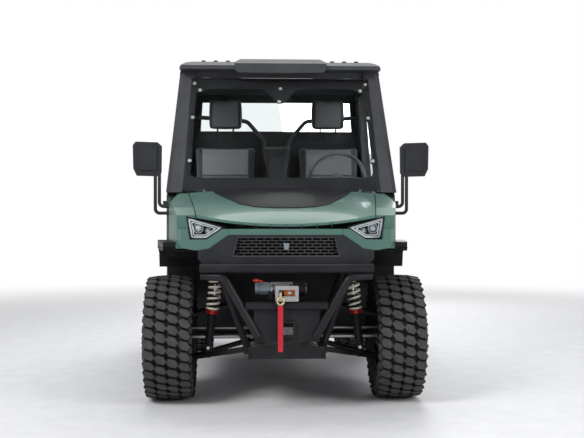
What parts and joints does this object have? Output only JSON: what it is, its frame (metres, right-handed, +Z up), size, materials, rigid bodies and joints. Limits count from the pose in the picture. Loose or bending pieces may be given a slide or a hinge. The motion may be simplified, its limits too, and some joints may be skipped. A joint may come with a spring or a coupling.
{
  "type": "side by side utility vehicle",
  "caption": "Side by side utility vehicle with a full cab, doors, hood, tilting cargo bed with tailgate, steered front wheels, tube bumper and winch.",
  "frame": {"origin": "centre of the bounding box at ground level, on the vehicle's middle plane", "axes": "+Z up, -Y towards the front, +X towards the driver's side (the vehicle's left)"},
  "size_m": [1.77, 2.966, 2],
  "materials": {
    "tyre": "matt rubber",
    "rim": "satin black",
    "cast_parts": "cast",
    "steel_links": "machined",
    "frame_tube": "powder coat",
    "arm_tube": "powder coat",
    "spring": "gloss cream",
    "cab_moulding": "grained",
    "glass": "clear",
    "body_colour": "gloss green",
    "door_colour": "gloss green",
    "seat_cloth": "woven vinyl",
    "grip": "soft grip",
    "trim_plastic": "grained black",
    "lamp_lens": "clear lens",
    "lamp_red": "red lens",
    "winch_metal": "satin",
    "hook_metal": "zinc passivated",
    "webbing": "woven webbing",
    "engine_metal": "cast"
  },
  "bodies": {
    "frame": {"chassis_frame": "frame_tube", "sill_frames": "frame_tube", "frame_towers": "frame_tube", "cross_tubes": "frame_tube", "hitch_receiver": "frame_tube", "floor_tub": "cab_moulding", "front_bumper": "frame_tube", "winch": "winch_metal", "winch_hook": "hook_metal", "hook_strap": "webbing", "bumper_cover": "trim_plastic", "grille": "trim_plastic", "front_body": "body_colour", "headlamps": "lamp_lens", "cowl": "cab_moulding", "wheel_flares": "trim_plastic", "dash": "cab_moulding", "controls": "trim_plastic", "cab_frame": "cab_moulding", "roof": "cab_moulding", "cab_glass": "glass", "rear_panel": "cab_moulding", "seat_cushions": "seat_cloth", "seat_backs": "seat_cloth", "headrests": "seat_cloth", "engine": "engine_metal", "suspension_arms": "arm_tube", "shocks": "spring", "driveline": "steel_links", "mirrors": "trim_plastic", "rear_hub_carriers": "cast_parts"},
    "knuckle_left": {"knuckle_left": "cast_parts"},
    "knuckle_right": {"knuckle_right": "cast_parts"},
    "wheel_front_left": {"tyre_front_left": "tyre", "rim_front_left": "rim"},
    "wheel_front_right": {"tyre_front_right": "tyre", "rim_front_right": "rim"},
    "wheel_rear_left": {"tyre_rear_left": "tyre", "rim_rear_left": "rim"},
    "wheel_rear_right": {"tyre_rear_right": "tyre", "rim_rear_right": "rim"},
    "rack": {"tie_rods": "steel_links"},
    "steering_wheel": {"steering_wheel": "grip"},
    "door_left": {"door_left": "door_colour", "door_glass_left": "glass"},
    "door_right": {"door_right": "door_colour", "door_glass_right": "glass"},
    "hood": {"hood": "body_colour", "hood_insert": "trim_plastic"},
    "bed": {"cargo_bed": "body_colour", "tail_lamps": "lamp_red"},
    "tailgate": {"tailgate": "body_colour"}
  },
  "joints": [
    {"name": "spin_front_left", "type": "hinge", "parent": "knuckle_left", "child": "wheel_front_left", "pos_m": [0.628, -1, 0.343], "axis": [1, 0, 0], "continuous": true},
    {"name": "spin_front_right", "type": "hinge", "parent": "knuckle_right", "child": "wheel_front_right", "pos_m": [-0.628, -1, 0.343], "axis": [1, 0, 0], "continuous": true},
    {"name": "spin_rear_left", "type": "hinge", "parent": "frame", "child": "wheel_rear_left", "pos_m": [0.614, 0.96, 0.343], "axis": [1, 0, 0], "continuous": true},
    {"name": "spin_rear_right", "type": "hinge", "parent": "frame", "child": "wheel_rear_right", "pos_m": [-0.614, 0.96, 0.343], "axis": [1, 0, 0], "continuous": true},
    {"name": "steer_left", "type": "hinge", "parent": "frame", "child": "knuckle_left", "pos_m": [0.55, -1, 0.343], "axis": [0, 0, 1], "range_deg": [-30, 30]},
    {"name": "steer_right", "type": "hinge", "parent": "frame", "child": "knuckle_right", "pos_m": [-0.55, -1, 0.343], "axis": [0, 0, 1], "range_deg": [-30.1, 30.1]},
    {"name": "rack_slide", "type": "slide", "parent": "frame", "child": "rack", "axis": [1, 0, 0], "range_m": [-0.0402, 0.0402]},
    {"name": "steering_wheel_turn", "type": "hinge", "parent": "frame", "child": "steering_wheel", "pos_m": [0.37, -0.232, 1.262], "axis": [0, 0.8829, 0.4695], "range_deg": [-451, 451]},
    {"name": "door_left_hinge", "type": "hinge", "parent": "frame", "child": "door_left", "pos_m": [0.702, -0.61074, 0.9], "axis": [0, 0, -1], "range_deg": [0, 65]},
    {"name": "door_right_hinge", "type": "hinge", "parent": "frame", "child": "door_right", "pos_m": [-0.702, -0.61074, 0.9], "axis": [0, 0, 1], "range_deg": [0, 65]},
    {"name": "hood_hinge", "type": "hinge", "parent": "frame", "child": "hood", "pos_m": [0, -0.738, 1.166], "axis": [-1, 0, 0], "range_deg": [0, 50]},
    {"name": "bed_tilt", "type": "hinge", "parent": "frame", "child": "bed", "pos_m": [0, 1.25, 0.748], "axis": [-1, 0, 0], "range_deg": [0, 45]},
    {"name": "tailgate_hinge", "type": "hinge", "parent": "bed", "child": "tailgate", "pos_m": [0, 1.443, 0.832], "axis": [-1, 0, 0], "range_deg": [0, 90]}
  ],
  "couplings": [
    {"joint": "steer_right", "follows": "steer_left", "ratio": 1},
    {"joint": "rack_slide", "follows": "steer_left", "m_per_rad": -0.076394},
    {"joint": "steering_wheel_turn", "follows": "steer_left", "ratio": 15}
  ]
}
